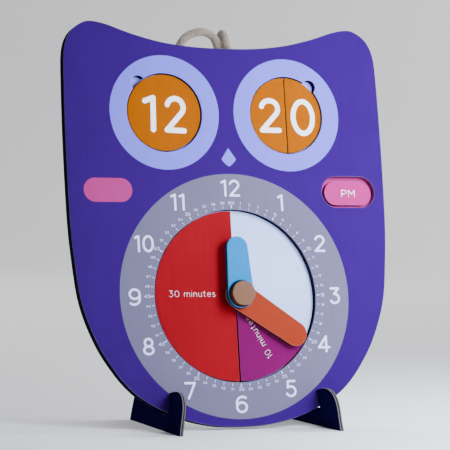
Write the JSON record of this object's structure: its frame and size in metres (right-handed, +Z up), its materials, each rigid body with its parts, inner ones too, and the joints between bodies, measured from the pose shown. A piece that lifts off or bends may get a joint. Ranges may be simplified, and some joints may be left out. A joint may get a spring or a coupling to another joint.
{
  "type": "clock learning game",
  "caption": "Owl-shaped teaching clock of thick board on slotted feet, with loose dial pieces, eye tiles and a hanging loop.",
  "frame": {"origin": "on the floor under the middle of the clock's width and depth, as it stands on its feet", "axes": "+Z up, +X to the viewer's right, the clock faces -Y and leans back towards +Y"},
  "size_m": [0.2226, 0.1159, 0.2614],
  "materials": {
    "purple_print": "satin printed paper",
    "dark_board": "matt, dark wrapped edge",
    "floor_print": "satin printed paper",
    "turned_wood": "fine, unvarnished",
    "coral_print": "satin printed paper",
    "blue_print": "satin printed paper",
    "red_print": "satin printed paper",
    "magenta_print": "satin printed paper",
    "orange_print": "satin printed paper",
    "pink_print": "satin printed paper",
    "navy_print": "satin printed paper, raw grey edges",
    "cotton_cord": "matt braid"
  },
  "bodies": {
    "board": {"front_ply": "purple_print", "middle_ply": "dark_board", "back_ply": "floor_print", "hub_spacer": "turned_wood", "axle_pin": "turned_wood", "front_knob": "turned_wood", "rear_button": "turned_wood", "hanging_loop": "cotton_cord"},
    "hour_hand": {"hour_hand": "blue_print"},
    "minute_hand": {"minute_hand": "coral_print"},
    "thirty_minute_piece": {"thirty_minute_piece": "red_print"},
    "ten_minute_piece": {"ten_minute_piece": "magenta_print"},
    "hour_disc": {"hour_disc": "orange_print"},
    "minute_tens_half": {"minute_tens_half": "orange_print"},
    "minute_units_half": {"minute_units_half": "orange_print"},
    "pm_token": {"pm_token": "pink_print"},
    "left_foot": {"left_foot_inner_ply": "navy_print", "left_foot_outer_ply": "navy_print"},
    "right_foot": {"right_foot_inner_ply": "navy_print", "right_foot_outer_ply": "navy_print"}
  },
  "joints": [
    {"name": "hour_hand_turn", "type": "hinge", "parent": "board", "child": "hour_hand", "pos_m": [0, -0.00823, 0.08525], "axis": [0, 0.9833, -0.1822], "continuous": true},
    {"name": "minute_hand_turn", "type": "hinge", "parent": "board", "child": "minute_hand", "pos_m": [0, -0.00823, 0.08525], "axis": [0, 0.9833, -0.1822], "continuous": true},
    {"name": "thirty_minute_piece_turn", "type": "hinge", "parent": "board", "child": "thirty_minute_piece", "pos_m": [0, -0.00823, 0.08525], "axis": [0, 0.9833, -0.1822], "range_deg": [0, 59]},
    {"name": "ten_minute_piece_turn", "type": "hinge", "parent": "board", "child": "ten_minute_piece", "pos_m": [0, -0.00823, 0.08525], "axis": [0, -0.9833, 0.1822], "range_deg": [0, 59]},
    {"name": "hour_disc_lift_out", "type": "slide", "parent": "board", "child": "hour_disc", "axis": [0, -0.9833, 0.1822], "range_m": [0, 0.02]},
    {"name": "minute_tens_half_lift_out", "type": "slide", "parent": "board", "child": "minute_tens_half", "axis": [0, -0.9833, 0.1822], "range_m": [0, 0.02]},
    {"name": "minute_units_half_lift_out", "type": "slide", "parent": "board", "child": "minute_units_half", "axis": [0, -0.9833, 0.1822], "range_m": [0, 0.02]},
    {"name": "pm_token_lift_out", "type": "slide", "parent": "board", "child": "pm_token", "axis": [0, -0.9833, 0.1822], "range_m": [0, 0.02]},
    {"name": "left_foot_pull_off", "type": "slide", "parent": "board", "child": "left_foot", "axis": [-0.1392, -0.1805, -0.9737], "range_m": [0, 0.016]},
    {"name": "right_foot_pull_off", "type": "slide", "parent": "board", "child": "right_foot", "axis": [0.1392, -0.1805, -0.9737], "range_m": [0, 0.016]}
  ]
}
